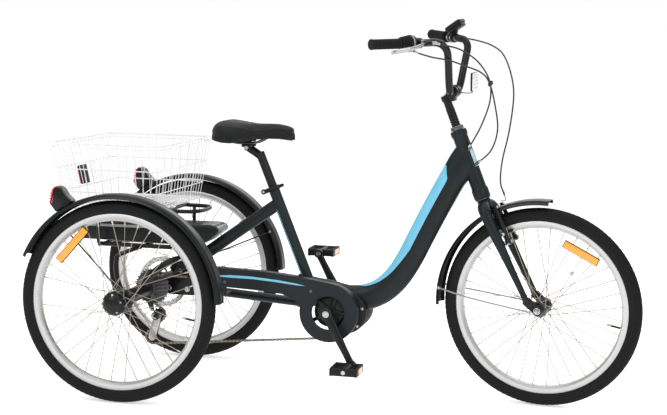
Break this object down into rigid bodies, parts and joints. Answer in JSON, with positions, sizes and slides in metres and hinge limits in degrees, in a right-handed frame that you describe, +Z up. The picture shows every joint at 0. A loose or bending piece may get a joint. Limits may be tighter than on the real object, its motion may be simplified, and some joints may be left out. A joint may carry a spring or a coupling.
{
  "type": "adult tricycle",
  "caption": "Step-through adult tricycle with mid-mounted electric assist, rear wire basket over a rack battery, fenders, swept-back handlebar and a chain drive to one rear wheel.",
  "frame": {"origin": "centre of the footprint on the ground, at the middle of the overall bounding box", "axes": "+X forward along the wheelbase, +Y to the rider's left, +Z up from the ground"},
  "size_m": [1.7926, 0.81, 1.1443],
  "materials": {
    "frame_paint": "matte anthracite paint",
    "black_paint": "satin black paint",
    "black_plastic": "matte black plastic",
    "fender_gloss": "glossy black",
    "tyre_rubber": "black tyre rubber",
    "grip_rubber": "black rubber",
    "rim_alloy": "brushed silver",
    "bright_steel": "bright steel",
    "chain_steel": "brownish chain steel",
    "basket_wire": "white coated wire",
    "saddle_cover": "dark grey synthetic leather",
    "battery_case": "black plastic with a silver-grey end",
    "red_lens": "red lens in a black housing",
    "clear_lens": "clear white reflector",
    "black_cable": "black cable housing"
  },
  "bodies": {
    "frame": {"head_tube": "frame_paint", "down_tube": "frame_paint", "seat_tube": "frame_paint", "rear_stay": "frame_paint", "chain_stay": "frame_paint", "motor_housing": "black_plastic", "chain_guard": "frame_paint", "axle_carrier": "black_paint", "brake_caliper": "black_paint", "seat_collar": "black_paint", "carrier_frame": "black_paint", "basket": "basket_wire", "basket_reflector": "red_lens", "fender_right": "fender_gloss", "fender_left": "fender_gloss", "tail_light_right": "red_lens", "tail_light_left": "red_lens", "chain": "chain_steel"},
    "steering_assembly": {"fork": "frame_paint", "front_axle": "bright_steel", "front_fender": "fender_gloss", "stem": "black_paint", "handlebar": "black_paint", "grip_left": "grip_rubber", "grip_right": "grip_rubber", "display": "black_plastic", "front_reflector": "clear_lens", "front_brake_cable": "black_cable", "cable_loom": "black_cable"},
    "front_wheel": {"tyre_front": "tyre_rubber", "rim_front": "rim_alloy", "spokes_front": "bright_steel"},
    "drive_axle": {"rear_axle": "bright_steel", "brake_disc": "bright_steel", "tyre_right": "tyre_rubber", "rim_right": "rim_alloy", "spokes_right": "bright_steel"},
    "left_wheel": {"tyre_left": "tyre_rubber", "rim_left": "rim_alloy", "spokes_left": "bright_steel"},
    "freewheel": {"cassette": "bright_steel"},
    "cranks": {"chainring": "black_paint", "crank_right": "black_paint", "crank_left": "black_paint"},
    "pedal_right_body": {"pedal_right": "black_plastic"},
    "pedal_left_body": {"pedal_left": "black_plastic"},
    "derailleur": {"derailleur_body": "black_paint"},
    "cage": {"derailleur_cage": "black_paint"},
    "guide_pulley_body": {"guide_pulley": "black_plastic"},
    "tension_pulley_body": {"tension_pulley": "black_plastic"},
    "battery": {"battery_pack": "battery_case"},
    "seat": {"seat_post": "black_paint", "saddle_rails": "black_paint", "saddle": "saddle_cover"},
    "seat_release_lever": {"seat_lever": "black_paint"},
    "shifter": {"twist_shifter": "black_plastic"},
    "right_lever": {"brake_lever_right": "bright_steel"},
    "left_lever": {"brake_lever_left": "bright_steel"},
    "right_brake_arm": {"brake_arm_right": "black_paint"},
    "left_brake_arm": {"brake_arm_left": "black_paint"}
  },
  "joints": [
    {"name": "steering_turn", "type": "hinge", "parent": "frame", "child": "steering_assembly", "pos_m": [0.38223, 0, 0.69463], "axis": [-0.3746, 0, 0.9272], "range_deg": [-50.8, 69.2]},
    {"name": "front_wheel_spin", "type": "hinge", "parent": "steering_assembly", "child": "front_wheel", "pos_m": [0.60114, -0.00879, 0.29774], "axis": [0.1482, 0.9871, 0.0599], "continuous": true},
    {"name": "drive_axle_spin", "type": "hinge", "parent": "frame", "child": "drive_axle", "pos_m": [-0.5988, 0, 0.298], "axis": [0, 1, 0], "continuous": true},
    {"name": "left_wheel_spin", "type": "hinge", "parent": "frame", "child": "left_wheel", "pos_m": [-0.5988, 0.345, 0.298], "axis": [0, 1, 0], "continuous": true},
    {"name": "crank_spin", "type": "hinge", "parent": "frame", "child": "cranks", "pos_m": [-0.0288, 0, 0.256], "axis": [0, 1, 0], "continuous": true},
    {"name": "cassette_spin", "type": "hinge", "parent": "frame", "child": "freewheel", "pos_m": [-0.5988, -0.066, 0.298], "axis": [0, 1, 0], "continuous": true},
    {"name": "pedal_right_spin", "type": "hinge", "parent": "cranks", "child": "pedal_right_body", "pos_m": [0.0552, -0.19, 0.11051], "axis": [0, 1, 0], "continuous": true},
    {"name": "pedal_left_spin", "type": "hinge", "parent": "cranks", "child": "pedal_left_body", "pos_m": [-0.1128, 0.19, 0.40149], "axis": [0, 1, 0], "continuous": true},
    {"name": "derailleur_shift", "type": "slide", "parent": "frame", "child": "derailleur", "axis": [0, 1, 0], "range_m": [-0.0131, 0.0131], "deforming": ["chain"]},
    {"name": "derailleur_cage_swing", "type": "hinge", "parent": "derailleur", "child": "cage", "pos_m": [-0.5728, -0.066, 0.214], "axis": [0, 1, 0], "range_deg": [-15, 25], "stiffness_Nm_per_rad": 0.4, "deforming": ["chain"]},
    {"name": "guide_pulley_spin", "type": "hinge", "parent": "cage", "child": "guide_pulley_body", "pos_m": [-0.5728, -0.066, 0.214], "axis": [0, 1, 0], "continuous": true},
    {"name": "tension_pulley_spin", "type": "hinge", "parent": "cage", "child": "tension_pulley_body", "pos_m": [-0.5908, -0.066, 0.143], "axis": [0, 1, 0], "continuous": true},
    {"name": "seat_height", "type": "slide", "parent": "frame", "child": "seat", "axis": [-0.3859, 0, 0.9225], "range_m": [-0.09, 0.1]},
    {"name": "seat_lever_turn", "type": "hinge", "parent": "frame", "child": "seat_release_lever", "pos_m": [-0.25311, 0, 0.60464], "axis": [0, 1, 0], "range_deg": [-170, 0]},
    {"name": "battery_pull", "type": "slide", "parent": "frame", "child": "battery", "axis": [-1, 0, 0], "range_m": [0, 0.48]},
    {"name": "gear_twist", "type": "hinge", "parent": "steering_assembly", "child": "shifter", "pos_m": [0.2124, -0.18162, 1.06553], "axis": [0.7492, 0.6609, 0.043], "range_deg": [-60, 60]},
    {"name": "brake_lever_right_pull", "type": "hinge", "parent": "steering_assembly", "child": "right_lever", "pos_m": [0.25038, -0.17477, 1.06611], "axis": [0.0045, 0.0599, -0.9982], "range_deg": [0, 12.5], "stiffness_Nm_per_rad": 0.6, "springref_deg": -11.46},
    {"name": "brake_lever_left_pull", "type": "hinge", "parent": "steering_assembly", "child": "left_lever", "pos_m": [0.30072, 0.1605, 1.08646], "axis": [-0.0045, -0.0599, 0.9982], "range_deg": [0, 12.5], "stiffness_Nm_per_rad": 0.6, "springref_deg": -11.46},
    {"name": "brake_arm_right_swing", "type": "hinge", "parent": "steering_assembly", "child": "right_brake_arm", "pos_m": [0.50041, -0.04193, 0.49216], "axis": [-0.9153, 0.1599, -0.3698], "range_deg": [0, 3]},
    {"name": "brake_arm_left_swing", "type": "hinge", "parent": "steering_assembly", "child": "left_brake_arm", "pos_m": [0.51109, 0.02914, 0.49647], "axis": [0.9153, -0.1599, 0.3698], "range_deg": [0, 3]}
  ],
  "couplings": [
    {"joint": "cassette_spin", "follows": "crank_spin", "ratio": 2.1053},
    {"joint": "guide_pulley_spin", "follows": "crank_spin", "ratio": -3.6364},
    {"joint": "tension_pulley_spin", "follows": "crank_spin", "ratio": 3.6364},
    {"joint": "derailleur_shift", "follows": "gear_twist", "m_per_rad": 0.0125},
    {"joint": "brake_arm_right_swing", "follows": "brake_lever_left_pull", "ratio": 0.1},
    {"joint": "brake_arm_left_swing", "follows": "brake_lever_left_pull", "ratio": 0.1}
  ]
}
